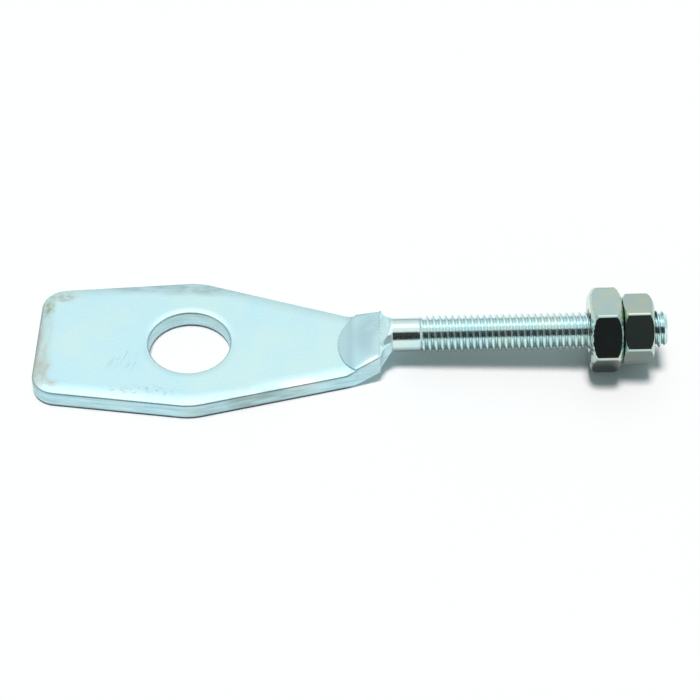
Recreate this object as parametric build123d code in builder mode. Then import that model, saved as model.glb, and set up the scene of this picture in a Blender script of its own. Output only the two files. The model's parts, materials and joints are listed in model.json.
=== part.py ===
from build123d import *
import os
from math import copysign, cos, isclose, pi, radians, sin, sqrt, tan

# Motorcycle chain adjuster: a stamped plate with an axle hole, its neck forged
# round to carry a threaded stud, an adjusting nut and a lock nut.
# Millimetres and degrees. The origin is the axle hole's centre on the plate's
# back face, +X runs towards the nuts and +Z away from the back face.

# Plate, stamped from sheet: widest at the shoulders, tapering to the neck
plate_thickness = 3.2
axle_hole_diameter = 13.0
heel_reach = 24.2
heel_width = 22.0
heel_corner_radius = 4.0
shoulder_offset = 1.0
shoulder_width = 27.3
shoulder_radius = 9.0
taper_angle = 16.2

# Rims drawn down by the punch: how far in from the edge the roll starts, its
# steepest slope, the small lip between the roll and the sheared edge, and the
# tumbled rounding of the lower rims
edge_roll_width = 2.4
hole_roll_width = 1.3
pad_roll_width = 1.5
roll_angle = 13.0
lip_radius = 0.35
lip_land = 0.1
burr_radius = 0.25

# Neck, bent up from the plate, pressed under a round die and forged round
neck_bend_reach = 25.9
neck_bend_angle = 27.0
neck_bend_radius = 2.5
neck_length = 4.5
neck_corner_radius = 0.4
die_mark_lead = 2.25
die_mark_radius = 7.8
die_mark_step = 0.2
curl_land = 0.2
forge_length = 1.9
forge_lap = 0.6
forge_ledge = 0.05

# Forging from the square neck to the round stud: the exponent of its first
# cross-section, the number of cross-sections and the points on each
forge_squareness = 8.0
forge_sections = 5
section_points = 64

# Stud, butt welded to the round end of the neck
stud_height = 5.7
stud_rise_angle = 3.4
shank_diameter = 5.3
shank_length = 3.8
thread_diameter = 5.9
thread_length = 39.2
tip_chamfer = 0.6

# Nuts
adjusting_nut_width = 12.0
adjusting_nut_thickness = 5.0
adjusting_nut_turn = -3.8
lock_nut_width = 10.0
lock_nut_thickness = 5.0
lock_nut_turn = -10.8
stud_beyond_lock_nut = 2.1
nut_corner_radius = 0.6
nut_face_share = 0.95
nut_chamfer_angle = 30.0
nut_countersink = 0.45
thread_clearance = 0.05
nut_gap = 0.02

# Derived places
shank_radius = shank_diameter / 2
thread_radius = thread_diameter / 2
taper_slope = tan(radians(taper_angle))
bend_slope = tan(radians(neck_bend_angle))
neck_reach = neck_bend_reach + neck_length
neck_half_width = shoulder_width / 2 - taper_slope * (neck_reach - shoulder_offset)
neck_rise = bend_slope * neck_length
die_centre_reach = neck_bend_reach - die_mark_lead + die_mark_radius
weld_reach = neck_reach + forge_length
forge_start = neck_reach - forge_lap
forge_run = forge_lap + forge_length
rolled_reach = neck_reach - neck_corner_radius - lip_radius
curl_radius = neck_half_width - shank_radius - curl_land
plan_reach = weld_reach + shank_length
through_height = 2 * stud_height
lip_setback = lip_land + lip_radius * tan(radians(45 - roll_angle / 2))
stud_length = shank_length + thread_length
bore_radius = thread_radius + thread_clearance
lock_nut_place = stud_length - stud_beyond_lock_nut - lock_nut_thickness
adjusting_nut_place = lock_nut_place - nut_gap - adjusting_nut_thickness
stud_direction = Vector(cos(radians(stud_rise_angle)), 0, sin(radians(stud_rise_angle)))
stud_plane = Plane(origin=(weld_reach, 0, stud_height), x_dir=(0, 1, 0), z_dir=stud_direction)
stud_side_plane = Plane(origin=stud_plane.origin, x_dir=stud_direction, z_dir=(0, -1, 0))
stud_axis = Axis(stud_plane.origin, stud_direction)


def sheet_section(thickness, reach):
    """Side view of the bent sheet, from the heel to reach."""
    upper_bend = neck_bend_reach - thickness * tan(radians(neck_bend_angle / 2))
    lower_rise = bend_slope * (reach - neck_bend_reach)
    upper_rise = lower_rise + thickness / cos(radians(neck_bend_angle))
    outer_radius = neck_bend_radius + plate_thickness
    with BuildSketch(Plane.XZ) as section:
        with BuildLine():
            Polyline(
                (-heel_reach, 0),
                (neck_bend_reach, 0),
                (reach, lower_rise),
                (reach, upper_rise),
                (upper_bend, thickness),
                (-heel_reach, thickness),
                close=True,
            )
        make_face()
        lower = section.vertices().filter_by(lambda v: isclose(v.X, neck_bend_reach))
        fillet(lower, outer_radius)
        upper = section.vertices().filter_by(lambda v: isclose(v.X, upper_bend))
        fillet(upper, outer_radius - thickness)
    return section.sketch


def roll_over(sheet, rim_of, width):
    """Rolls a rim of the sheet's flat top: an arc down to the roll angle, then the lip."""
    setback = (width - lip_setback * cos(radians(roll_angle))) / (1 + cos(radians(roll_angle)))
    top = sheet.faces().filter_by(Axis.Z).sort_by(Axis.Z)[-1]
    lip_height = top.center().Z - (width - setback) * tan(radians(roll_angle))
    chamfer(rim_of(top), width - setback, angle=roll_angle, reference=top)
    top = sheet.faces().filter_by(Axis.Z).sort_by(Axis.Z)[-1]
    fillet(rim_of(top), setback / tan(radians(roll_angle / 2)))
    lips = sheet.edges().filter_by(lambda edge: isclose(edge.center().Z, lip_height))
    fillet(lips, lip_radius)


def round_lower_rims(sheet, rims_of):
    """Rounds lower rims of the sheet's flat part, and of the bend that they run into."""
    bottom = sheet.faces().filter_by(Axis.Z).sort_by(Axis.Z)[0]
    fillet(rims_of(bottom), burr_radius)


def forge_height(start, end, share):
    """Height of the forging's crown or belly, from the pad's slope to the stud's slope."""
    swell = share * share * (3 - 2 * share)
    lead_in = share * (1 - share) ** 2 * bend_slope * forge_run
    run_out = share * share * (1 - share) * tan(radians(stud_rise_angle)) * forge_run
    return start + (end - start) * swell + lead_in - run_out


def forge_outline(share):
    """Cross-section of the forged neck, within the pad at share 0 and round at share 1."""
    pad_low = neck_rise - bend_slope * forge_lap
    pad_top = pad_low + (plate_thickness + die_mark_step) / cos(radians(neck_bend_angle))
    low = forge_height(pad_low + forge_ledge, stud_height - shank_radius, share)
    high = forge_height(pad_top - forge_ledge, stud_height + shank_radius, share)
    reach = forge_start + forge_run * share
    beyond_pad = max(0, reach - neck_reach) / forge_length
    half_width = neck_half_width + (shank_radius - neck_half_width) * beyond_pad
    half_height = (high - low) / 2
    power = 2 / (2 + (forge_squareness - 2) * (1 - beyond_pad) ** 3)
    points = []
    for step in range(section_points):
        turn = 2 * pi * step / section_points
        across = half_width * copysign(abs(cos(turn)) ** power, cos(turn))
        upward = half_height * copysign(abs(sin(turn)) ** power, sin(turn))
        points.append((across, upward))
    tilt = radians(stud_rise_angle * share)
    plane = Plane(origin=(reach, 0, (low + high) / 2), x_dir=(0, 1, 0), z_dir=(cos(tilt), 0, sin(tilt)))
    with BuildSketch(plane) as outline:
        with BuildLine():
            Spline(*points, periodic=True)
        make_face()
    return outline.sketch


def hex_nut(width, thickness, place, turn):
    """Hexagon nut on the stud, chamfered at both ends, its near face at place."""
    near_plane = stud_plane.offset(place)
    corner_radius = width / sqrt(3)
    face_radius = nut_face_share * width / 2
    crown_drop = (corner_radius - face_radius) * tan(radians(nut_chamfer_angle))
    with BuildPart() as nut:
        with BuildSketch(near_plane) as hexagon:
            RegularPolygon(width / 2, side_count=6, major_radius=False, rotation=turn)
            fillet(hexagon.vertices(), nut_corner_radius)
        extrude(amount=thickness)
        with BuildSketch(stud_side_plane):
            with BuildLine():
                Polyline(
                    (place, 0),
                    (place, face_radius),
                    (place + crown_drop, corner_radius),
                    (place + thickness - crown_drop, corner_radius),
                    (place + thickness, face_radius),
                    (place + thickness, 0),
                    close=True,
                )
            make_face()
        revolve(axis=stud_axis, mode=Mode.INTERSECT)
        with BuildSketch(near_plane):
            Circle(bore_radius)
        extrude(amount=thickness, mode=Mode.SUBTRACT)
        circles = nut.edges().filter_by(GeomType.CIRCLE)
        chamfer(circles.filter_by(lambda edge: isclose(edge.radius, bore_radius)), nut_countersink)
    return nut.part


# Plan view of the plate, tapering to the neck and curling in to the stud
with BuildSketch() as plan:
    with BuildLine():
        Polyline(
            (-heel_reach, 0),
            (-heel_reach, heel_width / 2),
            (shoulder_offset, shoulder_width / 2),
            (neck_reach, neck_half_width),
        )
        curl = CenterArc((neck_reach + curl_radius, neck_half_width), curl_radius, 180, 90)
        Polyline(curl @ 1, (plan_reach, shank_radius + curl_land), (plan_reach, 0))
        mirror(about=Plane.XZ)
    make_face()
    heel_corners = plan.vertices().filter_by(lambda v: isclose(abs(v.Y), heel_width / 2))
    fillet(heel_corners, heel_corner_radius)
    shoulders = plan.vertices().filter_by(lambda v: isclose(v.X, shoulder_offset))
    fillet(shoulders, shoulder_radius)
    neck_corners = plan.vertices().filter_by(lambda v: isclose(v.X, neck_reach))
    fillet(neck_corners, neck_corner_radius)

# Neck: the sheet under the round die, then the forging from flat to round
with BuildPart() as neck:
    extrude(sheet_section(plate_thickness + die_mark_step, neck_reach), amount=shoulder_width, both=True)
    with BuildSketch():
        with BuildLine():
            Polyline(
                (shoulder_offset, 0),
                (shoulder_offset, shoulder_width / 2),
                (neck_reach, neck_half_width),
                (neck_reach, 0),
            )
            mirror(about=Plane.XZ)
        make_face()
    extrude(amount=through_height, both=True, mode=Mode.INTERSECT)
    roll_over(neck, lambda top: top.outer_wire().edges().sort_by(Axis.X)[1:-1], pad_roll_width)
    round_lower_rims(neck, lambda bottom: bottom.edges().sort_by(Axis.X)[1:-1])
    with BuildSketch():
        with Locations((die_centre_reach, 0)):
            Circle(die_mark_radius)
    extrude(amount=through_height, both=True, mode=Mode.INTERSECT)
    loft([forge_outline(step / (forge_sections - 1)) for step in range(forge_sections)])
    extrude(plan.sketch, amount=through_height, both=True, mode=Mode.INTERSECT)

# Plate: bent sheet cut to the plan, its rims rolled over by the punch
with BuildPart() as adjuster_plate:
    extrude(sheet_section(plate_thickness, rolled_reach), amount=shoulder_width, both=True)
    extrude(plan.sketch, amount=through_height, both=True, mode=Mode.INTERSECT)
    Hole(axle_hole_diameter / 2)
    roll_over(adjuster_plate, lambda top: top.inner_wires()[0].edges(), hole_roll_width)
    roll_over(adjuster_plate, lambda top: top.outer_wire().edges().sort_by(Axis.X)[:-1], edge_roll_width)
    round_lower_rims(adjuster_plate, lambda bottom: bottom.edges().sort_by(Axis.X)[:-1])
    add(neck.part)
adjuster_plate.part.label = "adjuster_plate"

# Stud: plain shank, then the thread at its crest diameter
with BuildPart() as threaded_stud:
    with BuildSketch(stud_side_plane):
        with BuildLine():
            Polyline(
                (0, 0),
                (0, shank_radius),
                (shank_length, shank_radius),
                (shank_length + thread_radius - shank_radius, thread_radius),
                (stud_length - tip_chamfer, thread_radius),
                (stud_length, thread_radius - tip_chamfer),
                (stud_length, 0),
                close=True,
            )
        make_face()
    revolve(axis=stud_axis)
threaded_stud.part.label = "threaded_stud"

adjusting_nut = hex_nut(
    adjusting_nut_width, adjusting_nut_thickness, adjusting_nut_place, adjusting_nut_turn
)
adjusting_nut.label = "adjusting_nut"
lock_nut = hex_nut(lock_nut_width, lock_nut_thickness, lock_nut_place, lock_nut_turn)
lock_nut.label = "lock_nut"

os.makedirs("parts", exist_ok=True)
for piece in (adjuster_plate.part, threaded_stud.part, adjusting_nut, lock_nut):
    export_step(piece, f"parts/{piece.label}.step")
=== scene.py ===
"""Looks of a motorcycle chain adjuster: a stamped plate, its threaded stud and two nuts.

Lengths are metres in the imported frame. The origin is the axle hole's centre on the
plate's back face, +X runs towards the nuts and +Z away from the back face.
"""

import json
import logging
import math
from collections.abc import Callable, Mapping, Sequence
from dataclasses import dataclass, replace
from enum import Enum, IntEnum
from typing import Any

import bmesh
import bpy
from mathutils import Matrix, Vector


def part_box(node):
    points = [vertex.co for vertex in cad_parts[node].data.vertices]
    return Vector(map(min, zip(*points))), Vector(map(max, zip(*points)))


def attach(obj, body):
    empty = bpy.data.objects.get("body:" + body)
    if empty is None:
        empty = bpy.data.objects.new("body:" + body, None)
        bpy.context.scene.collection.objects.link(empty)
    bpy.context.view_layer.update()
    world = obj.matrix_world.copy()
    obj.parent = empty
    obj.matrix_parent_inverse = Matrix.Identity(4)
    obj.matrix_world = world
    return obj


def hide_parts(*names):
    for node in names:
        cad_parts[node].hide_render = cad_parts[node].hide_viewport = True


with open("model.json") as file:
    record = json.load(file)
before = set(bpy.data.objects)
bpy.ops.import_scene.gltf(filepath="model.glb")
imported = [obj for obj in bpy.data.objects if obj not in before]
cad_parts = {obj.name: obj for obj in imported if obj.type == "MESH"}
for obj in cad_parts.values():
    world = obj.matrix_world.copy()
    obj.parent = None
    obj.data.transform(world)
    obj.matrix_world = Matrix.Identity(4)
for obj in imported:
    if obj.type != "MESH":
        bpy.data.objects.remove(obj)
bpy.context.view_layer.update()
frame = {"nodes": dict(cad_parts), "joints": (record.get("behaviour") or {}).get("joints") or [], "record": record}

MM = 0.001
FRAME_PIXELS = 700
# Points of a modelled piece that lie closer together than this are one point.
NEARLY = 0.005 * MM
# Half of the angle between two corners of a hexagon, seen from its middle.
HEXAGON_HALF = math.radians(30)
THREAD_CREST = 2.95 * MM
THREAD_ROOT = 2.39 * MM
# Noise seldom leaves these levels, so a pattern that runs between them shows in full.
NOISE_LOW = 0.3
NOISE_HIGH = 0.7
# Finer layers of noise on top of a pattern's own size.
RIPPLE_DETAIL = 1.0
BLOTCH_DETAIL = 2.0
GRAIN_DETAIL = 3.0
log = logging.getLogger("chain_adjuster")

Colour = tuple[float, float, float, float]
Triple = tuple[float, float, float]
Levels = tuple[float, float]
Tree = bpy.types.NodeTree
Socket = bpy.types.NodeSocket


class Node(Enum):
    """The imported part's nodes."""

    PLATE = "adjuster_plate"
    STUD = "threaded_stud"
    ADJUSTING_NUT = "adjusting_nut"
    LOCK_NUT = "lock_nut"


class Body(Enum):
    """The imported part's moving bodies."""

    ADJUSTER = "adjuster"
    ADJUSTING_NUT = "adjusting_nut"
    LOCK_NUT = "lock_nut"


class Slot(Enum):
    """The record's material slots."""

    PLATE = "plate_zinc"
    STUD = "stud_zinc"
    NUT = "nut_zinc"


class Element(Enum):
    """What edit mode selects: the select mode's name and the mesh's list of them."""

    VERTEX = ("VERT", "verts")
    EDGE = ("EDGE", "edges")
    FACE = ("FACE", "faces")


class Fade(Enum):
    """How stains, painted light and tones fade from one level to another."""

    STRAIGHT = "LINEAR"
    SOFT = "SMOOTHSTEP"


class MixSocket(IntEnum):
    """Places of a colour Mix node's sockets."""

    FACTOR = 0
    FIRST = 6
    SECOND = 7
    RESULT = 2


def linear(code: str) -> Colour:
    """Turns an sRGB hex colour into linear light, by the standard's own curve.

    Args:
        code: Colour as "#RRGGBB".

    Returns:
        Red, green and blue in linear light, and an alpha of 1.
    """
    channels = [int(code[place:place + 2], 16) / 255 for place in (1, 3, 5)]
    red, green, blue = (c / 12.92 if c <= 0.04045 else ((c + 0.055) / 1.055) ** 2.4 for c in channels)
    return red, green, blue, 1.0


def add_node(
    tree: Tree,
    kind: str,
    inputs: Mapping[str | int, Any] | None = None,
    stops: Sequence[tuple[float, Colour]] = (),
    **settings: Any,
) -> bpy.types.Node:
    """Adds a shader node with its settings and links.

    Args:
        tree: Node tree that gets the node.
        kind: Blender's name for the node's type.
        inputs: Values or linked output sockets, by the input's name or place.
        stops: Places and colours of a colour ramp.
        settings: Properties of the node itself.

    Returns:
        The new node.
    """
    node = tree.nodes.new(kind)
    for name, value in settings.items():
        setattr(node, name, value)
    for socket, value in (inputs or {}).items():
        if isinstance(value, Socket):
            tree.links.new(value, node.inputs[socket])
        else:
            node.inputs[socket].default_value = value
    for index, (place, colour) in enumerate(stops):
        # A new ramp already has two stops.
        ramp = node.color_ramp.elements
        stop = ramp[index] if index < len(ramp) else ramp.new(place)
        stop.position = place
        stop.color = colour
    return node


def pick(piece: bpy.types.Object) -> None:
    """Makes a piece the active one and the only one that is selected.

    Args:
        piece: Object to pick.
    """
    bpy.ops.object.select_all(action="DESELECT")
    piece.select_set(True)
    bpy.context.view_layer.objects.active = piece


def select(piece: bpy.types.Object, element: Element, chosen: Callable[[Any], bool]) -> None:
    """Selects in edit mode the elements that pass a test, and nothing else.

    Args:
        piece: Object in edit mode.
        element: Kind of element to select.
        chosen: Test that an element has to pass.
    """
    mode, listing = element.value
    bpy.ops.mesh.select_mode(type=mode)
    bpy.ops.mesh.select_all(action="DESELECT")
    mesh = bmesh.from_edit_mesh(piece.data)
    for item in getattr(mesh, listing):
        item.select_set(chosen(item))
    mesh.select_flush_mode()
    bmesh.update_edit_mesh(piece.data)


def apply_modifier(piece: bpy.types.Object, kind: str, **settings: Any) -> None:
    """Adds a modifier to a piece and applies it.

    Args:
        piece: Object that gets the modifier.
        kind: Blender's name for the modifier's type.
        settings: The modifier's properties.
    """
    modifier = piece.modifiers.new(kind.title(), kind)
    for name, value in settings.items():
        setattr(modifier, name, value)
    bpy.context.view_layer.objects.active = piece
    bpy.ops.object.modifier_apply(modifier=modifier.name)


def cut(piece: bpy.types.Object, tool: bpy.types.Object, operation: str) -> None:
    """Cuts a piece with a tool shape and removes the tool.

    Args:
        piece: Closed shape to cut.
        tool: Closed shape that cuts it.
        operation: DIFFERENCE or INTERSECT.
    """
    apply_modifier(piece, "BOOLEAN", operation=operation, object=tool, solver="EXACT")
    bpy.data.objects.remove(tool)


def mend(piece: bpy.types.Object) -> None:
    """Merges points that lie together and drops the faces that have no area.

    Args:
        piece: Piece to mend.
    """
    pick(piece)
    bpy.ops.object.mode_set(mode="EDIT")
    bpy.ops.mesh.select_mode(type="VERT")
    bpy.ops.mesh.select_all(action="SELECT")
    bpy.ops.mesh.remove_doubles(threshold=NEARLY)
    bpy.ops.mesh.dissolve_degenerate(threshold=NEARLY)
    bpy.ops.object.mode_set(mode="OBJECT")


def settle(piece: bpy.types.Object, place: Matrix, sharp_angle: float) -> None:
    """Puts a finished piece in its place, with the place in its mesh, and shades it.

    Args:
        piece: Piece modelled about the origin.
        place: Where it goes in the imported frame.
        sharp_angle: Edges that turn by more than this stay sharp.
    """
    pick(piece)
    piece.matrix_world = place
    bpy.ops.object.transform_apply(location=True, rotation=True, scale=True)
    bpy.ops.object.shade_smooth_by_angle(angle=sharp_angle)


def stud_line() -> Vector:
    """Gives the stud's direction, towards its tip."""
    return Vector(frame["joints"][0]["axis"]).normalized()


def stud_tip() -> Vector:
    """Gives the middle of the stud's end."""
    mounts = {mount["name"]: mount for mount in frame["record"]["mounts"]}
    return Vector(mounts["stud_end"]["pos_m"])


def stud_place(centre: Vector, turn: float) -> Matrix:
    """Gives the place of a piece that is turned about the stud's line.

    Args:
        centre: Point on the stud's line where the piece's own origin goes.
        turn: Angle about the stud's line, from the frame's +Y.

    Returns:
        Matrix whose Z runs along the stud towards its tip.
    """
    along = stud_line()
    side = Vector((0, 1, 0))
    turned = Matrix((side, along.cross(side), along)).transposed().to_4x4()
    return Matrix.Translation(centre) @ turned @ Matrix.Rotation(turn, 4, "Z")


@dataclass(frozen=True)
class Coat:
    """The sockets that carry a finish's colour, roughness and normal."""

    colour: Socket
    roughness: Socket
    normal: Socket


@dataclass(frozen=True)
class Limit:
    """Where a stained or painted patch ends: the levels of a value at which it is clear and at which it is full.
    """

    value: Socket
    levels: Levels
    fade: Fade = Fade.STRAIGHT


def blotches(tree: Tree, place: Socket, size: Triple, turn: float = 0.0) -> Socket:
    """Makes irregular blotches, or streaks where one size is longer than the others.

    Args:
        tree: The material's node tree.
        place: Socket with the place on the part.
        size: Size of a blotch along each axis, in millimetres.
        turn: Angle of the blotches about Z.

    Returns:
        Socket with the noise that makes them.
    """
    turned = add_node(
        tree, "ShaderNodeVectorRotate", {"Vector": place, "Angle": turn}, rotation_type="Z_AXIS"
    )
    scaled = add_node(
        tree, "ShaderNodeVectorMath", {0: turned.outputs[0], 1: Vector(size) * MM}, operation="DIVIDE"
    )
    noise = add_node(
        tree, "ShaderNodeTexNoise", {"Vector": scaled.outputs[0], "Scale": 1.0, "Detail": BLOTCH_DETAIL}
    )
    return noise.outputs["Fac"]


def stain_or_painted_light(tree: Tree, colour: Socket, tint: str, limits: Sequence[Limit], strength: float = 1.0) -> Socket:
    """Lays a tint over a colour, inside all of its limits.

    Args:
        tree: The material's node tree.
        colour: Socket with the colour so far.
        tint: The tint, as an sRGB hex colour.
        limits: Limits that the tint keeps to.
        strength: Share of the tint where all of its limits are full.

    Returns:
        Socket with the tinted colour.
    """
    share: float | Socket = strength
    for limit in limits:
        # Each limit takes its part of the share that the limits before it leave.
        clear, full = limit.levels
        kept = add_node(
            tree,
            "ShaderNodeMapRange",
            {"Value": limit.value, "From Min": clear, "From Max": full, "To Max": share},
            interpolation_type=limit.fade.value,
        )
        share = kept.outputs["Result"]
    mixed = add_node(
        tree,
        "ShaderNodeMix",
        {MixSocket.FACTOR: share, MixSocket.FIRST: colour, MixSocket.SECOND: linear(tint)},
        data_type="RGBA",
    )
    return mixed.outputs[MixSocket.RESULT]


@dataclass(frozen=True)
class BrightZinc:
    """Steel electroplated with bright zinc and dipped in a clear passivate.

    The plating mirrors the room softly, and the passivate's thin film gives it a faint
    cast that drifts from blue to straw across the surface. The zinc's own grain is about
    0.01 mm and would not show, so grain_size draws it some thirty times coarser.
    """

    name: str
    body: str
    cool_cast: str
    warm_cast: str
    cast_size: float
    grain_size: float
    grain_depth: float
    smooth: float
    rough: float
    metallic: float

    def material(self) -> bpy.types.Material:
        """Makes the finish's material.

        Returns:
            The new material.
        """
        finish = bpy.data.materials.new(self.name)
        finish.use_nodes = True
        tree = finish.node_tree
        tree.nodes.clear()
        coords = add_node(tree, "ShaderNodeTexCoord")
        coat = self.wear_and_painted_light(tree, coords, self.plating(tree, coords))
        shader = add_node(
            tree,
            "ShaderNodeBsdfPrincipled",
            {
                "Base Color": coat.colour,
                "Metallic": self.metallic,
                "Roughness": coat.roughness,
                "Normal": coat.normal,
            },
        )
        add_node(tree, "ShaderNodeOutputMaterial", {"Surface": shader.outputs["BSDF"]})
        return finish

    def plating(self, tree: Tree, coords: bpy.types.Node) -> Coat:
        """Makes the clean plating: the film's drifting cast and the zinc's fine grain.

        Args:
            tree: The material's node tree.
            coords: The material's texture coordinates.

        Returns:
            The plating's sockets.
        """
        place = coords.outputs["Object"]
        film = add_node(
            tree,
            "ShaderNodeTexNoise",
            {"Vector": place, "Scale": 1 / self.cast_size, "Detail": BLOTCH_DETAIL},
        )
        colour = add_node(
            tree,
            "ShaderNodeValToRGB",
            {"Fac": film.outputs["Fac"]},
            stops=(
                (NOISE_LOW, linear(self.cool_cast)),
                (NOISE_HIGH, linear(self.warm_cast)),
                ((NOISE_LOW + NOISE_HIGH) / 2, linear(self.body)),
            ),
        )
        grain = add_node(
            tree,
            "ShaderNodeTexNoise",
            {"Vector": place, "Scale": 1 / self.grain_size, "Detail": GRAIN_DETAIL},
        )
        level = grain.outputs["Fac"]
        roughness = add_node(
            tree,
            "ShaderNodeMapRange",
            {
                "Value": level,
                "From Min": NOISE_LOW,
                "From Max": NOISE_HIGH,
                "To Min": self.smooth,
                "To Max": self.rough,
            },
        )
        bump = add_node(tree, "ShaderNodeBump", {"Height": level, "Distance": self.grain_depth})
        return Coat(colour.outputs["Color"], roughness.outputs["Result"], bump.outputs["Normal"])

    def wear_and_painted_light(self, tree: Tree, coords: bpy.types.Node, coat: Coat) -> Coat:
        """Leaves the plating clean, for a finish that adds no worn marks or painted light of its own."""
        return coat


@dataclass(frozen=True)
class UndersideShadedZinc(BrightZinc):
    """Zinc with painted shade: a dark tint on the faces that look down, where they would mirror the shaded table.
    """

    # Painted shade on the faces that look down.
    underside_shade: str
    underside_shade_strength: float = 0.9
    underside_shade_facing: Levels = (0.0, -0.4)

    def wear_and_painted_light(self, tree: Tree, coords: bpy.types.Node, coat: Coat) -> Coat:
        """Adds painted shade: a dark tint on the faces that look down.

        Args:
            tree: The material's node tree.
            coords: The material's texture coordinates.
            coat: The clean plating.

        Returns:
            The shaded coat's sockets.
        """
        facing = add_node(tree, "ShaderNodeSeparateXYZ", {0: coords.outputs["Normal"]})
        # Painted shade: the faces that look down take a dark tint, where they would mirror the shaded table.
        under = Limit(facing.outputs["Z"], self.underside_shade_facing)
        return replace(coat, colour=stain_or_painted_light(tree, coat.colour, self.underside_shade, [under], self.underside_shade_strength))


@dataclass(frozen=True)
class Mark:
    """One stained patch, scuff or painted highlight: where it is, its tint, and the grain that breaks it up.

    Places and sizes are millimetres on the part. The levels are those of the grain's noise,
    and the edge is shares of the reach, each from clear to full.
    """

    centre: Triple
    reach: Triple
    tint: str
    strength: float
    grain: Triple
    levels: Levels
    turn: float = 0.0
    edge: Levels = (1.0, 0.3)

    def lay(self, tree: Tree, place: Socket, colour: Socket) -> Socket:
        """Lays the mark over a colour.

        Args:
            tree: The material's node tree.
            place: Socket with the place on the part.
            colour: Socket with the colour so far.

        Returns:
            Socket with the marked colour.
        """
        shifted = add_node(
            tree, "ShaderNodeVectorMath", {0: place, 1: Vector(self.centre) * MM}, operation="SUBTRACT"
        )
        scaled = add_node(
            tree,
            "ShaderNodeVectorMath",
            {0: shifted.outputs[0], 1: Vector(self.reach) * MM},
            operation="DIVIDE",
        )
        far = add_node(tree, "ShaderNodeVectorMath", {0: scaled.outputs[0]}, operation="LENGTH")
        patch = Limit(far.outputs["Value"], self.edge, Fade.SOFT)
        grain = Limit(blotches(tree, place, self.grain, self.turn), self.levels)
        return stain_or_painted_light(tree, colour, self.tint, [patch, grain], self.strength)


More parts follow.
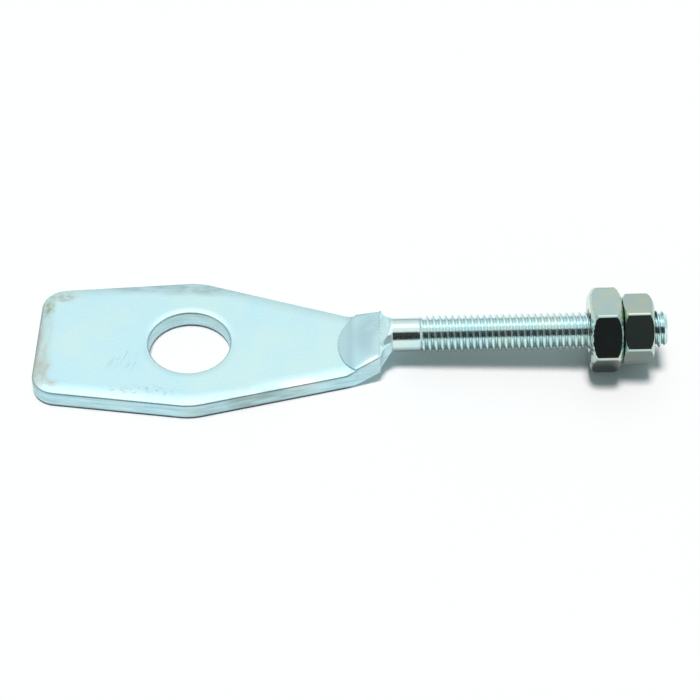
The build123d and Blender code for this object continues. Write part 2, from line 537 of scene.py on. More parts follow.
@dataclass(frozen=True)
class StampedZinc(BrightZinc):
    """Zinc over a stamping: dull sheared edges, a painted contact shadow at the foot, marks on top.

    The die left a burnished round print on the neck, edged with a line of painted shade, and
    old plating fluid dried brown at the heel. The rolled lip gets a painted dark reflection,
    and some marks are painted highlights. Facing is how far a face looks up or down, from 0 on
    an upright side to 1.
    The sizes of streaks and of breaks in the line are millimetres, as a mark's grain is.
    """

    marks: tuple[Mark, ...]
    # Painted dark reflection on the rolled lip and painted shade on the print's edge line.
    edge_grey: str
    painted_line_shade: str
    # Painted contact shadow at the foot, with its height below.
    contact_shadow: str
    print_tint: str
    print_centre: Triple
    print_radius: float
    print_line: float
    bend_reach: float
    bend_fade: float
    contact_shadow_height: float
    ripple_size: float
    ripple_depth: float
    sheared_roughness: float
    sheared_facing: Levels = (0.75, 0.35)
    lip_top_facing: Levels = (0.92, 0.8)
    lip_foot_facing: Levels = (0.2, 0.45)
    lip_strength: float = 0.5
    streak_size: Triple = (5.0, 5.0, 0.5)
    streak_levels: Levels = (0.3, 0.75)
    streak_strength: float = 0.5
    print_strength: float = 0.45
    line_size: Triple = (1.5, 1.5, 3.0)
    line_levels: Levels = (0.35, 0.6)
    line_strength: float = 0.35

    def wear_and_painted_light(self, tree: Tree, coords: bpy.types.Node, coat: Coat) -> Coat:
        """Adds the stamping's marks to the plating, with its painted highlights, painted lip reflection and
        painted contact shadow.

        Args:
            tree: The material's node tree.
            coords: The material's texture coordinates.
            coat: The clean plating.

        Returns:
            The worn coat's sockets, with its painted light.
        """
        place = coords.outputs["Object"]
        spot = add_node(tree, "ShaderNodeSeparateXYZ", {0: place})
        normal = add_node(tree, "ShaderNodeSeparateXYZ", {0: coords.outputs["Normal"]})
        either_way = add_node(tree, "ShaderNodeMath", {0: normal.outputs["Z"]}, operation="ABSOLUTE")
        facing = either_way.outputs[0]
        sheared = Limit(facing, self.sheared_facing)
        streaks = Limit(blotches(tree, place, self.streak_size), self.streak_levels)
        lip = (
            Limit(facing, self.lip_top_facing),
            Limit(facing, self.lip_foot_facing),
            Limit(spot.outputs["X"], (self.bend_reach, self.bend_reach - self.bend_fade)),
        )
        foot = Limit(spot.outputs["Z"], (self.contact_shadow_height, self.contact_shadow_height / 2))
        colour = self.die_print(tree, place, spot.outputs["X"], coat.colour)
        for mark in self.marks:
            colour = mark.lay(tree, place, colour)
        colour = stain_or_painted_light(tree, colour, self.edge_grey, [sheared, streaks], self.streak_strength)
        # Painted dark reflection along the rolled lip, where the rim would mirror the dark room.
        colour = stain_or_painted_light(tree, colour, self.painted_line_shade, lip, self.lip_strength)
        # Painted contact shadow: near black on the sheared sides at the foot, where the part meets the table.
        colour = stain_or_painted_light(tree, colour, self.contact_shadow, [foot, sheared])
        smooth_side, sheared_side = self.sheared_facing
        dull = add_node(
            tree,
            "ShaderNodeMapRange",
            {
                "Value": facing,
                "From Min": smooth_side,
                "From Max": sheared_side,
                "To Max": self.sheared_roughness,
            },
        )
        roughness = add_node(
            tree, "ShaderNodeMath", {0: dull.outputs["Result"], 1: coat.roughness}, operation="ADD"
        )
        ripple = add_node(
            tree,
            "ShaderNodeTexNoise",
            {"Vector": place, "Scale": 1 / self.ripple_size, "Detail": RIPPLE_DETAIL},
        )
        rippled = add_node(
            tree,
            "ShaderNodeBump",
            {"Height": ripple.outputs["Fac"], "Distance": self.ripple_depth, "Normal": coat.normal},
        )
        return Coat(colour, roughness.outputs[0], rippled.outputs["Normal"])

    def die_print(self, tree: Tree, place: Socket, along: Socket, colour: Socket) -> Socket:
        """Adds the round print that the forging die left on the neck, with a painted shade line at its edge.

        Args:
            tree: The material's node tree.
            place: Socket with the place on the part.
            along: Socket with the place along the part.
            colour: Socket with the colour so far.

        Returns:
            Socket with the printed colour.
        """
        flat = add_node(tree, "ShaderNodeVectorMath", {0: place, 1: (1, 1, 0)}, operation="MULTIPLY")
        away = add_node(
            tree,
            "ShaderNodeVectorMath",
            {0: flat.outputs[0], 1: self.print_centre},
            operation="DISTANCE",
        )
        far = away.outputs["Value"]
        inside = Limit(far, (self.print_radius + self.print_line, self.print_radius - self.print_line))
        ahead = Limit(along, (self.bend_reach + self.bend_fade, self.bend_reach - self.bend_fade))
        line = Limit(far, (self.print_radius - 2 * self.print_line, self.print_radius))
        broken = Limit(blotches(tree, place, self.line_size), self.line_levels)
        colour = stain_or_painted_light(tree, colour, self.print_tint, [inside, ahead], self.print_strength)
        # Painted shade: a grey line along the print's edge, where its small step would throw a thin shadow.
        return stain_or_painted_light(tree, colour, self.painted_line_shade, [inside, line, broken], self.line_strength)


@dataclass(frozen=True)
class ThreadZinc(UndersideShadedZinc):
    """Zinc over a rolled thread: bright on the crests, with painted shade down in the grooves, darkest where they
    look down.
    """

    # Painted shade in the grooves, and a darker one where they look down.
    groove_shade: str = "#D4E8E7"
    low_groove_shade: str = "#6E8C8A"
    low_facing: Levels = (0.4, -0.1)
    root_radius: float = THREAD_ROOT
    crest_radius: float = THREAD_CREST

    def wear_and_painted_light(self, tree: Tree, coords: bpy.types.Node, coat: Coat) -> Coat:
        """Paints shade into the grooves by their distance from the stud's line, most where they look down.

        Args:
            tree: The material's node tree.
            coords: The material's texture coordinates.
            coat: The clean plating.

        Returns:
            The shaded coat's sockets.
        """
        offset = add_node(
            tree,
            "ShaderNodeVectorMath",
            {0: coords.outputs["Object"], 1: stud_tip()},
            operation="SUBTRACT",
        )
        across = add_node(
            tree,
            "ShaderNodeVectorMath",
            {0: offset.outputs[0], 1: stud_line()},
            operation="CROSS_PRODUCT",
        )
        radius = add_node(tree, "ShaderNodeVectorMath", {0: across.outputs[0]}, operation="LENGTH")
        facing = add_node(tree, "ShaderNodeSeparateXYZ", {0: coords.outputs["Normal"]})
        middle = (self.root_radius + self.crest_radius) / 2
        deep = Limit(radius.outputs["Value"], (middle, self.root_radius))
        low = Limit(facing.outputs["Z"], self.low_facing)
        # Painted shade in the grooves, deeper where they look down.
        colour = stain_or_painted_light(tree, coat.colour, self.groove_shade, [deep])
        colour = stain_or_painted_light(tree, colour, self.low_groove_shade, [deep, low])
        return super().wear_and_painted_light(tree, coords, replace(coat, colour=colour))


@dataclass
class AdjusterPlate:
    """The stamped plate, its neck pressed down on both sides of the stud's root.

    The press works from press_reach on, where the neck is press_height high, and on what
    is above press_floor. The pad's slope runs on into it over ledge_run, and points at its
    start that lie within ledge_gap of each other are one.
    """

    finish: BrightZinc
    press_reach: float = 29.9 * MM
    press_height: float = 5.86 * MM
    press_floor: float = 5.8 * MM
    pad_slope: float = math.radians(27)
    ledge_run: float = 0.7 * MM
    press_slope: float = math.radians(19)
    root_radius: float = 2.75 * MM
    root_fillet: float = 0.5 * MM
    merge_gap: float = 0.001 * MM
    ledge_gap: float = 0.06 * MM
    sharp_angle: float = math.radians(35)
    shading: str = "noted_shading"

    def build(self) -> bpy.types.Object:
        """Forges the neck of a copy of the plain plate.

        Returns:
            The finished piece, in place.
        """
        plain = frame["nodes"][Node.PLATE.value].data
        plate = bpy.data.objects.new("adjuster_plate_forged", plain.copy())
        bpy.context.scene.collection.objects.link(plate)
        pick(plate)
        self.press(plate)
        bpy.ops.object.mode_set(mode="EDIT")
        bpy.ops.mesh.select_all(action="SELECT")
        bpy.ops.mesh.remove_doubles(threshold=self.merge_gap)
        select(plate, Element.VERTEX, lambda v: abs(v.co.x - self.press_reach) < self.ledge_gap)
        bpy.ops.mesh.remove_doubles(threshold=self.ledge_gap)
        bpy.ops.object.mode_set(mode="OBJECT")
        shading = plate.data.attributes[self.shading]
        plate.data.normals_split_custom_set([corner.vector.copy() for corner in shading.data])
        plate.data.attributes.remove(shading)
        plate.data.materials.clear()
        plate.data.materials.append(self.finish.material())
        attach(plate, Body.ADJUSTER.value)
        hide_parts(Node.PLATE.value)
        log.info("%s: %d faces", plate.name, len(plate.data.polygons))
        return plate

    def press(self, plate: bpy.types.Object) -> None:
        """Presses the neck down beside the stud's root and notes the shading of each face's corners.

        The solid's own shading stays where the press doesn't reach.

        Args:
            plate: Copy of the plain plate.
        """
        mesh = plate.data
        shaded = [corner.vector.copy() for corner in mesh.corner_normals]
        forged = set()
        for vertex in mesh.vertices:
            if vertex.co.x > self.press_reach and vertex.co.z > self.press_floor:
                forged.add(vertex.index)
                pad = self.press_height + (vertex.co.x - self.press_reach) * math.tan(self.pad_slope)
                if vertex.co.x < self.press_reach + self.ledge_run:
                    share = (vertex.co.x - self.press_reach) / self.ledge_run
                    vertex.co.z += max(pad - vertex.co.z, 0) * (1 - share)
                vertex.co.z = min(vertex.co.z, self.pressed_height(vertex.co))
        bpy.ops.mesh.customdata_custom_splitnormals_clear()
        bpy.ops.object.shade_smooth_by_angle(angle=self.sharp_angle)
        for loop, corner in zip(mesh.loops, mesh.corner_normals):
            if loop.vertex_index in forged:
                shaded[loop.index] = corner.vector.copy()
        noted = mesh.attributes.new(self.shading, "FLOAT_VECTOR", "CORNER")
        for corner, normal in zip(noted.data, shaded):
            corner.vector = normal

    def pressed_height(self, point: Vector) -> float:
        """Gives the height of the pressed neck, with the stud's root standing out of it.

        Args:
            point: Point on the neck.

        Returns:
            Height of the surface at the point's place in plan.
        """
        flange = self.press_height + (point.x - self.press_reach) * math.tan(self.press_slope)
        along = stud_line()
        axis = stud_tip() + along * (point.x - stud_tip().x) / along.x
        root = axis.z + math.sqrt(max(self.root_radius**2 - point.y**2, 0))
        return (flange + root + math.hypot(flange - root, self.root_fillet)) / 2


@dataclass
class ThreadedStud:
    """The stud: a plain shank, a rolled thread that runs out into it, and a chamfered tip.

    The thread is wound with turns_before ahead of the shank's end and turns_past beyond the
    tip, and is then cut to length.
    """

    finish: BrightZinc
    length: float = 43.0 * MM
    shank_radius: float = 2.65 * MM
    shank_length: float = 3.8 * MM
    crest_radius: float = THREAD_CREST
    root_radius: float = THREAD_ROOT
    pitch: float = 1.0 * MM
    flank_angle: float = math.radians(30)
    crest_width: float = 0.15 * MM
    crest_rounding: float = 0.05 * MM
    run_out: float = 1.3 * MM
    tip_chamfer: float = 0.6 * MM
    turn: float = 0.0
    turns_before: int = 2
    turns_past: int = 1
    bar_lead: float = 4.0 * MM
    steps: int = 48
    blank_sides: int = 96
    plane_gap: float = NEARLY / 10
    sharp_angle: float = math.radians(32)

    def build(self) -> bpy.types.Object:
        """Models the stud from one turn of its thread's profile.

        Returns:
            The finished piece, in place.
        """
        stud = self.thread()
        self.add_shank(stud)
        cut(stud, self.turned_blank(), "INTERSECT")
        mend(stud)
        place = stud_place(stud_tip(), self.turn) @ Matrix.Translation((0, 0, -self.length))
        settle(stud, place, self.sharp_angle)
        stud.name = "stud_thread"
        stud.data.materials.append(self.finish.material())
        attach(stud, Body.ADJUSTER.value)
        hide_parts(Node.STUD.value)
        log.info("%s: %d faces", stud.name, len(stud.data.polygons))
        return stud

    def thread(self) -> bpy.types.Object:
        """Winds the thread from a point that is drawn out into one pitch of its profile.

        Returns:
            The wound thread, open at both ends.
        """
        rise = self.crest_radius - self.root_radius
        flank_length = rise * math.tan(self.flank_angle)
        root_half = (self.pitch - self.crest_width) / 2 - flank_length
        profile = (
            (0, root_half),
            (rise, flank_length),
            (0, self.crest_width),
            (-rise, flank_length),
            (0, root_half),
        )
        start = self.shank_length - self.turns_before * self.pitch
        bpy.ops.object.select_all(action="DESELECT")
        bpy.ops.mesh.primitive_plane_add(size=self.pitch)
        thread = bpy.context.object
        bpy.ops.object.mode_set(mode="EDIT")
        bpy.ops.mesh.merge(type="CENTER")
        bpy.ops.transform.translate(value=(self.root_radius, 0, start))
        for outward, along in profile:
            bpy.ops.mesh.extrude_region_move(TRANSFORM_OT_translate={"value": (outward, 0, along)})
        # Every point of the profile but its two ends joins two edges.
        select(thread, Element.VERTEX, lambda v: len(v.link_edges) == 2)
        bpy.ops.mesh.bevel(offset=self.crest_rounding, segments=2, affect="VERTICES")
        bpy.ops.object.mode_set(mode="OBJECT")
        threaded_turns = math.ceil((self.length - self.shank_length) / self.pitch)
        apply_modifier(
            thread,
            "SCREW",
            axis="Z",
            screw_offset=self.pitch,
            iterations=self.turns_before + threaded_turns + self.turns_past,
            steps=self.steps,
            render_steps=self.steps,
        )
        return thread

    def add_shank(self, stud: bpy.types.Object) -> None:
        """Runs the thread out into the plain shank and closes both ends.

        Args:
            stud: The wound thread.
        """
        bpy.ops.object.mode_set(mode="EDIT")
        bpy.ops.mesh.select_all(action="SELECT")
        bpy.ops.mesh.remove_doubles(threshold=NEARLY)
        for height, side in ((self.shank_length, -1), (self.length + self.pitch / 2, 1)):
            bpy.ops.mesh.select_all(action="SELECT")
            bpy.ops.mesh.bisect(
                plane_co=(0, 0, height), plane_no=(0, 0, side), clear_outer=True, threshold=self.plane_gap
            )
        select(stud, Element.EDGE, lambda e: e.is_boundary and e.verts[0].co.z > self.length / 2)
        bpy.ops.mesh.edge_face_add()
        bpy.ops.object.mode_set(mode="OBJECT")
        fade = stud.vertex_groups.new(name="run_out")
        for vertex in stud.data.vertices:
            share = min(max((vertex.co.z - self.shank_length) / self.run_out, 0), 1)
            # The curve is level at both of its ends.
            fade.add([vertex.index], 1 - share * share * (3 - 2 * share), "REPLACE")
        shank = self.bar(self.shank_radius)
        apply_modifier(stud, "SHRINKWRAP", target=shank, vertex_group=fade.name)
        bpy.data.objects.remove(shank)
        stud.vertex_groups.clear()
        mend(stud)
        bpy.ops.object.mode_set(mode="EDIT")
        select(stud, Element.EDGE, lambda e: e.is_boundary)
        bpy.ops.mesh.extrude_region_move(TRANSFORM_OT_translate={"value": (0, 0, -self.shank_length)})
        bpy.ops.mesh.edge_face_add()
        bpy.ops.mesh.select_all(action="SELECT")
        bpy.ops.mesh.normals_make_consistent(inside=False)
        bpy.ops.object.mode_set(mode="OBJECT")

    def bar(self, radius: float) -> bpy.types.Object:
        """Models a round bar that ends at the stud's tip and starts well before its shank.

        Args:
            radius: The bar's radius.

        Returns:
            The closed bar, along Z.
        """
        bpy.ops.object.select_all(action="DESELECT")
        bpy.ops.mesh.primitive_cylinder_add(
            vertices=self.blank_sides,
            radius=radius,
            depth=self.length + self.bar_lead,
            location=(0, 0, (self.length - self.bar_lead) / 2),
        )
        bpy.ops.object.transform_apply(location=True)
        return bpy.context.object

    def turned_blank(self) -> bpy.types.Object:
        """Models the bar that the stud was turned from, chamfered at the tip.

        Returns:
            The closed blank.
        """
        blank = self.bar(self.crest_radius + self.pitch)
        bpy.ops.object.mode_set(mode="EDIT")
        select(blank, Element.EDGE, lambda e: all(v.co.z > self.length / 2 for v in e.verts))
        bpy.ops.mesh.bevel(offset=self.tip_chamfer + self.pitch, segments=1, affect="EDGES")
        bpy.ops.object.mode_set(mode="OBJECT")
        return blank


@dataclass
class HexNut:
    """A chamfered hexagon nut with a countersunk bore and softened edges."""

    finish: BrightZinc
    node: Node
    body: Body
    across_flats: float
    thickness: float
    turn: float
    corner_radius: float = 0.6 * MM
    face_share: float = 0.92
    chamfer_angle: float = math.radians(30)
    bore_radius: float = 3.0 * MM
    countersink: float = 0.45 * MM
    crown_rounding: float = 0.7 * MM
    edge_softening: float = 0.15 * MM
    softened_angle: float = math.radians(18)
    round_sides: int = 96
    sharp_angle: float = math.radians(40)

    def build(self) -> bpy.types.Object:
        """Models the nut from a hexagon bar and puts it in its node's place.

        Returns:
            The finished piece.
        """
        nut = self.hexagon()
        cut(nut, self.crown(), "INTERSECT")
        cut(nut, self.bore(), "DIFFERENCE")
        apply_modifier(
            nut,
            "BEVEL",
            width=self.edge_softening,
            segments=3,
            limit_method="ANGLE",
            angle_limit=self.softened_angle,
        )
        mend(nut)
        low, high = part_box(self.node.value)
        settle(nut, stud_place((low + high) / 2, self.turn + HEXAGON_HALF), self.sharp_angle)
        apply_modifier(nut, "WEIGHTED_NORMAL", keep_sharp=True)
        nut.name = f"{self.node.value}_forged"
        nut.data.materials.append(self.finish.material())
        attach(nut, self.body.value)
        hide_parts(self.node.value)
        log.info("%s: %d faces", nut.name, len(nut.data.polygons))
        return nut

    def corner_reach(self) -> float:
        """Gives the distance from the nut's middle to a sharp corner of its hexagon."""
        return self.across_flats / math.sqrt(3)

    def hexagon(self) -> bpy.types.Object:
        """Models a length of hexagon bar with rounded corners.

        Returns:
            The bar, about the origin.
        """
        bpy.ops.object.select_all(action="DESELECT")
        bpy.ops.mesh.primitive_cylinder_add(vertices=6, radius=self.corner_reach(), depth=self.thickness)
        bar = bpy.context.object
        bpy.ops.object.mode_set(mode="EDIT")
        select(bar, Element.EDGE, lambda e: abs(e.verts[0].co.z - e.verts[1].co.z) > self.thickness / 2)
        rounding = self.corner_radius * math.tan(HEXAGON_HALF)
        bpy.ops.mesh.bevel(offset=rounding, segments=4, affect="EDGES")
        bpy.ops.object.mode_set(mode="OBJECT")
        return bar

    def spool(self, radius: float, end_radius: float, end_depth: float, reach: float) -> bpy.types.Object:
        """Models a round tool with tapered ends.

        Args:
            radius: Radius of its middle.
            end_radius: Radius at the nut's faces.
            end_depth: Length of each taper.
            reach: How far it stands out past the nut's faces.

        Returns:
            The closed tool, about the origin.
        """
        half = self.thickness / 2 - end_depth
        scale = end_radius / radius
        bpy.ops.object.select_all(action="DESELECT")
        bpy.ops.mesh.primitive_cylinder_add(
            vertices=self.round_sides, radius=radius, depth=2 * half, end_fill_type="NGON"
        )
        tool = bpy.context.object
        bpy.ops.object.mode_set(mode="EDIT")
        for side in (-1, 1):
            select(tool, Element.FACE, lambda f: all(v.co.z * side > half / 2 for v in f.verts))
            bpy.ops.mesh.extrude_region_move(TRANSFORM_OT_translate={"value": (0, 0, side * end_depth)})
            bpy.ops.transform.resize(value=(scale, scale, 1))
            if reach:
                bpy.ops.mesh.extrude_region_move(TRANSFORM_OT_translate={"value": (0, 0, side * reach)})
        bpy.ops.object.mode_set(mode="OBJECT")
        return tool

    def crown(self) -> bpy.types.Object:
        """Models the round blank whose tapered and rounded ends chamfer the nut's corners.

        Returns:
            The closed blank, about the origin.
        """
        face = self.face_share * self.across_flats / 2
        depth = (self.corner_reach() - face) * math.tan(self.chamfer_angle)
        blank = self.spool(self.corner_reach(), face, depth, 0)
        bpy.ops.object.mode_set(mode="EDIT")
        select(
            blank,
            Element.EDGE,
            lambda e: e.verts[0].co.z * e.verts[1].co.z > 0
            and all(abs(v.co.z) < self.thickness / 2 - depth / 2 for v in e.verts),
        )
        bpy.ops.mesh.bevel(offset=self.crown_rounding, segments=4, affect="EDGES")
        bpy.ops.object.mode_set(mode="OBJECT")
        return blank

    def bore(self) -> bpy.types.Object:
        """Models the hole through the nut, countersunk at both ends."""
        mouth = self.bore_radius + self.countersink
        return self.spool(self.bore_radius, mouth, self.countersink, self.thickness)


@dataclass
class Studio:
    """A white table under a wide overhead light, in a room that is dark behind the camera."""

    floor_size: float = 3.0
    floor_colour: str = "#FCFCFC"
    backdrop: str = "#FFFFFF"
    ambient: float = 0.33
    ambient_colour: str = "#E1FFFF"
    lamp_strength: float = 2.45
    lamp_colour: str = "#FFF7F7"
    lamp_angle: float = math.radians(14)
    lamp_lean_forward: float = math.radians(9.5)
    lamp_lean_left: float = math.radians(4)
    overhead: float = 1.75
    dark_room: float = 0.02
    dim_middle: float = 0.045
    side_wall: float = 0.7
    side_start: float = 0.5
    side_end: float = 0.8

    def build(self) -> None:
        """Lays the floor and sets the lights."""
        self.floor()
        self.lamp()
        self.room()

    def floor(self) -> None:
        """Lays the table top, which stays white to the eye and keeps the part's shadow."""
        bpy.ops.object.select_all(action="DESELECT")
        bpy.ops.mesh.primitive_plane_add(size=self.floor_size)
        floor = bpy.context.object
        floor.name = "table_top"
        white = bpy.data.materials.new("matt_white_table")
        white.use_nodes = True
        tree = white.node_tree
        tree.nodes.clear()
        paint = add_node(tree, "ShaderNodeBsdfDiffuse", {"Color": linear(self.floor_colour)})
        add_node(tree, "ShaderNodeOutputMaterial", {"Surface": paint.outputs["BSDF"]})
        floor.data.materials.append(white)

    def lamp(self) -> None:
        """Hangs the lamp that throws the part's shadow on the table."""
        light = bpy.data.lights.new("overhead_lamp", "SUN")
        light.energy = self.lamp_strength
        light.color = linear(self.lamp_colour)[:3]
        light.angle = self.lamp_angle
        lamp = bpy.data.objects.new("overhead_lamp", light)
        lamp.rotation_euler = (self.lamp_lean_forward, -self.lamp_lean_left, 0)
        lamp.visible_glossy = False
        bpy.context.scene.collection.objects.link(lamp)

    def grey(self, level: float) -> Colour:
        """Gives a tone of the room as a share of its brightest one."""
        share = level / self.overhead
        return share, share, share, 1.0

    def tones(self) -> list[tuple[float, Colour]]:
        """Gives the room's brightness by angle, from the horizon at the camera over the top.

        Returns:
            Places along the half turn and their tones, with the two ends first.
        """
        levels = (
            (0, 0.95),
            (180, 0.3),
            (7, 0.9),
            (11, self.dark_room),
            (25, self.dark_room),
            (37, self.dim_middle),
            (50, self.dim_middle),
            (59, self.dark_room),
            (66, 1.0),
            (94, 1.0),
            (98, self.overhead),
            (115, self.overhead),
            (125, 0.97),
            (134, 0.95),
            (146, 0.86),
            (160, 0.74),
            (170, 0.5),
        )
        return [(degrees / 180, self.grey(level)) for degrees, level in levels]

    def room(self) -> None:
        """Paints the room that the metal mirrors: dark by the camera, white overhead, pale behind."""
        world = bpy.data.worlds.new("studio_room")
        bpy.context.scene.world = world
        world.use_nodes = True
        tree = world.node_tree
        tree.nodes.clear()
        coords = add_node(tree, "ShaderNodeTexCoord")
        split = add_node(tree, "ShaderNodeSeparateXYZ", {0: coords.outputs["Generated"]})
        towards = add_node(
            tree, "ShaderNodeMath", {0: split.outputs["Y"], 1: -1.0}, operation="MULTIPLY"
        )
        angle = add_node(
            tree, "ShaderNodeMath", {0: split.outputs["Z"], 1: towards.outputs[0]}, operation="ARCTAN2"
        )
        share = add_node(tree, "ShaderNodeMath", {0: angle.outputs[0], 1: math.pi}, operation="DIVIDE")
        ahead = add_node(tree, "ShaderNodeValToRGB", {"Fac": share.outputs[0]}, stops=self.tones())
        across = add_node(tree, "ShaderNodeMath", {0: split.outputs["X"]}, operation="ABSOLUTE")
        aside = add_node(
            tree,
            "ShaderNodeMapRange",
            {"Value": across.outputs[0], "From Min": self.side_start, "From Max": self.side_end},
            interpolation_type=Fade.SOFT.value,
        )
        walls = add_node(
            tree,
            "ShaderNodeMix",
            {
                MixSocket.FACTOR: aside.outputs["Result"],
                MixSocket.FIRST: ahead.outputs["Color"],
                MixSocket.SECOND: self.grey(self.side_wall),
            },
            data_type="RGBA",
        )
        mirrored = add_node(
            tree,
            "ShaderNodeBackground",
            {"Color": walls.outputs[MixSocket.RESULT], "Strength": self.overhead},
        )
        soft = add_node(
            tree,
            "ShaderNodeBackground",
            {"Color": linear(self.ambient_colour), "Strength": self.ambient},
        )
        seen = add_node(tree, "ShaderNodeBackground", {"Color": linear(self.backdrop), "Strength": 1.0})
        path = add_node(tree, "ShaderNodeLightPath")
        lit = add_node(
            tree,
            "ShaderNodeMixShader",
            {0: path.outputs["Is Glossy Ray"], 1: soft.outputs[0], 2: mirrored.outputs[0]},
        )
        shown = add_node(
            tree,
            "ShaderNodeMixShader",
            {0: path.outputs["Is Camera Ray"], 1: lit.outputs[0], 2: seen.outputs[0]},
        )
        add_node(tree, "ShaderNodeOutputWorld", {"Surface": shown.outputs[0]})


@dataclass
class PhotoCamera:
    """The camera, at the photograph's angle and distance."""

    azimuth: float = math.radians(-0.865)
    elevation: float = math.radians(46.665)
    roll: float = math.radians(1.699)
    distance: float = 321.922 * MM
    aim: Triple = (25.623 * MM, 1.878 * MM, 0.0)
    focal_pixels: float = 2000.0
    sensor_width: float = 36.0
    clip_share: float = 0.01

    def place(self) -> None:
        """Sets the camera up and makes it the scene's own."""
        right = Vector((math.cos(self.azimuth), math.sin(self.azimuth), 0))
        away = Vector((math.sin(self.azimuth), -math.cos(self.azimuth), 0))
        back = away * math.cos(self.elevation) + Vector((0, 0, math.sin(self.elevation)))
        level = Matrix((right, back.cross(right), back)).transposed().to_4x4()
        data = bpy.data.cameras.new("photo_camera")
        data.sensor_width = self.sensor_width
        data.lens = self.focal_pixels * self.sensor_width / FRAME_PIXELS
        data.clip_start = self.distance * self.clip_share
        camera = bpy.data.objects.new("photo_camera", data)
        stand = Matrix.Translation(Vector(self.aim) + back * self.distance)
        camera.matrix_world = stand @ level @ Matrix.Rotation(self.roll, 4, "Z")
        bpy.context.scene.collection.objects.link(camera)
        bpy.context.scene.camera = camera


# Each mark's row: centre, reach, tint, strength, size of its grain, and the grain's levels.
HEEL_MARKS = (
    Mark((-24.3, 0.0, 2.8), (1.0, 14.0, 2.5), "#87969C", 0.7, (1.0, 4.0, 3.0), (0.1, 0.4)),
    Mark((-24.0, -2.0, 3.0), (3.0, 13.0, 3.0), "#BDB396", 0.5, (0.8, 2.5, 3.0), (0.2, 0.65)),
    Mark((-22.8, -6.5, 3.0), (2.2, 4.8, 3.0), "#B3A280", 0.55, (0.9, 1.6, 3.0), (0.3, 0.68)),
    Mark((-21.6, -9.6, 3.0), (2.6, 1.5, 3.0), "#BBA98C", 0.5, (1.2, 0.8, 3.0), (0.3, 0.65)),
    Mark((-23.0, 6.8, 3.0), (1.4, 3.0, 3.0), "#8F9463", 0.7, (0.6, 1.2, 3.0), (0.3, 0.65)),
    Mark((-21.2, 9.4, 3.0), (3.6, 1.7, 3.0), "#A3A592", 0.6, (1.2, 0.7, 3.0), (0.3, 0.68)),
)
# The dull far edge, two painted highlights on the near rim, specks along the near edge and slanted scuffs by the
# hole.
TOP_MARKS = (
    Mark((0.0, 12.6, 3.0), (22.0, 3.0, 3.0), "#8FA3A3", 0.65, (3.0, 1.2, 2.0), (0.3, 0.7)),
    # Painted highlights: white bands on the near rolled rim, where it would mirror the overhead light.
    Mark((12.0, -11.5, 3.1), (6.5, 1.8, 1.5), "#F4FFFC", 0.85, (3.0, 3.0, 3.0), (0.1, 0.4)),
    Mark((20.0, -8.9, 3.1), (6.5, 1.8, 1.5), "#F4FFFC", 0.85, (3.0, 3.0, 3.0), (0.1, 0.4)),
    Mark((-7.0, -10.7, 3.0), (8.5, 1.6, 2.0), "#8E9A86", 0.4, (0.7, 0.4, 1.0), (0.5, 0.7)),
    Mark(
        (-11.0, -4.2, 3.2),
        (4.5, 3.6, 2.0),
        "#96AEB0",
        0.45,
        (0.3, 3.5, 3.0),
        (0.54, 0.7),
        turn=math.radians(22),
    ),
)
# The struck pad, a painted highlight on its near rim, a painted highlight on the root, and the dull side below the
# neck.
NECK_MARKS = (
    Mark((28.4, 0.8, 5.0), (3.4, 6.0, 4.0), "#A9CBD6", 0.55, (3.0, 3.0, 3.0), (0.1, 0.4)),
    # Painted highlights on the pad's near rim and on the stud's root, where they would mirror the overhead light.
    Mark((28.3, -5.4, 5.8), (3.4, 1.7, 1.9), "#EEFFFF", 0.9, (3.0, 3.0, 3.0), (0.1, 0.4)),
    Mark((32.0, -1.5, 6.5), (4.0, 4.5, 5.0), "#E2FFFF", 0.7, (3.0, 3.0, 3.0), (0.2, 0.5)),
    Mark((13.0, -12.0, 1.5), (15.0, 5.0, 3.0), "#93A9A8", 0.9, (4.0, 4.0, 1.0), (0.25, 0.65)),
)
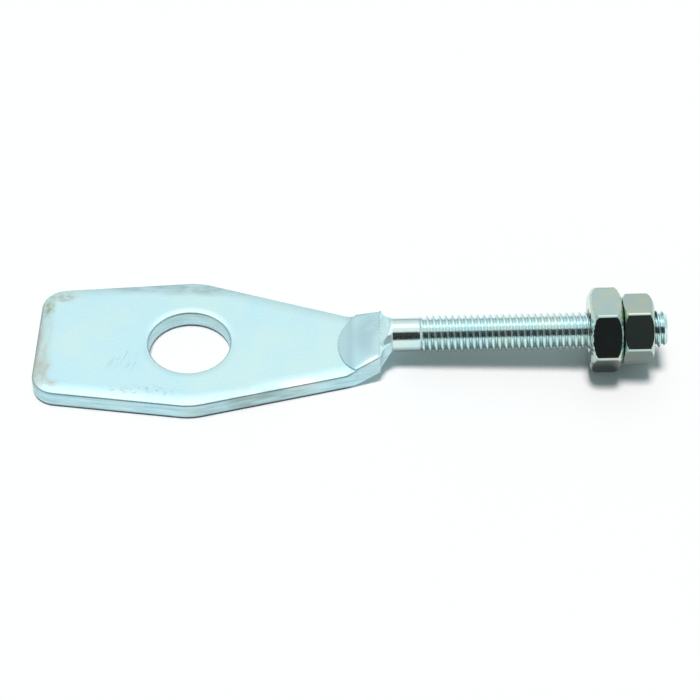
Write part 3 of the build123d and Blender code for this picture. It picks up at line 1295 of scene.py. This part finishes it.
# Zinc on stamped sheet in a blue passivate: a pale satin blue that blurs the room and takes stains.
PLATE_ZINC = StampedZinc(
    name="blue_passivated_zinc",
    body="#CAF0F6",
    cool_cast="#C5EEF8",
    warm_cast="#D0F1F1",
    cast_size=7 * MM,
    grain_size=0.35 * MM,
    grain_depth=0.0008 * MM,
    smooth=0.22,
    rough=0.28,
    metallic=0.7,
    marks=HEEL_MARKS + TOP_MARKS + NECK_MARKS,
    edge_grey="#8FA6AB",
    # Painted dark reflection on the rolled lip, and painted shade on the print's edge line.
    painted_line_shade="#7C8F92",
    # Painted contact shadow at the foot of the sheared sides.
    contact_shadow="#1E2022",
    print_tint="#8FB0BC",
    print_centre=(31.4 * MM, 0.0, 0.0),
    print_radius=7.8 * MM,
    print_line=0.12 * MM,
    bend_reach=25.9 * MM,
    bend_fade=0.7 * MM,
    contact_shadow_height=0.6 * MM,
    ripple_size=3 * MM,
    ripple_depth=0.012 * MM,
    sheared_roughness=0.2,
)
# Zinc on a rolled thread: a near mirror on the crests, with sharp bands of light and dark.
STUD_ZINC = ThreadZinc(
    name="bright_rolled_zinc",
    body="#D3EFF0",
    cool_cast="#CCEDF2",
    warm_cast="#DBF0EA",
    cast_size=4 * MM,
    grain_size=0.3 * MM,
    grain_depth=0.001 * MM,
    smooth=0.12,
    rough=0.22,
    metallic=1.0,
    # Painted shade on the faces that look down, where they would mirror the shaded table.
    underside_shade="#5F7B79",
)
# Zinc on cold forged nuts in a straw passivate: greyer and glossier, so their dark flats go black.
NUT_ZINC = UndersideShadedZinc(
    name="straw_passivated_zinc",
    body="#B8CFC8",
    cool_cast="#B2CDCE",
    warm_cast="#C3D0BB",
    cast_size=3 * MM,
    grain_size=0.3 * MM,
    grain_depth=0.002 * MM,
    smooth=0.08,
    rough=0.15,
    metallic=1.0,
    # Painted shade on the faces that look down, where they would mirror the shaded table.
    underside_shade="#2A312C",
)


def main() -> None:
    """Builds and dresses the part, then the studio around it."""
    logging.basicConfig(level=logging.INFO, format="%(message)s")
    bpy.context.scene.view_settings.view_transform = "Standard"
    AdjusterPlate(PLATE_ZINC).build()
    ThreadedStud(STUD_ZINC).build()
    HexNut(
        NUT_ZINC,
        Node.ADJUSTING_NUT,
        Body.ADJUSTING_NUT,
        across_flats=12 * MM,
        thickness=5 * MM,
        turn=math.radians(-3.8),
    ).build()
    HexNut(
        NUT_ZINC,
        Node.LOCK_NUT,
        Body.LOCK_NUT,
        across_flats=10 * MM,
        thickness=5 * MM,
        turn=math.radians(-10.8),
    ).build()
    Studio().build()
    PhotoCamera().place()


if __name__ == "__main__":
    main()
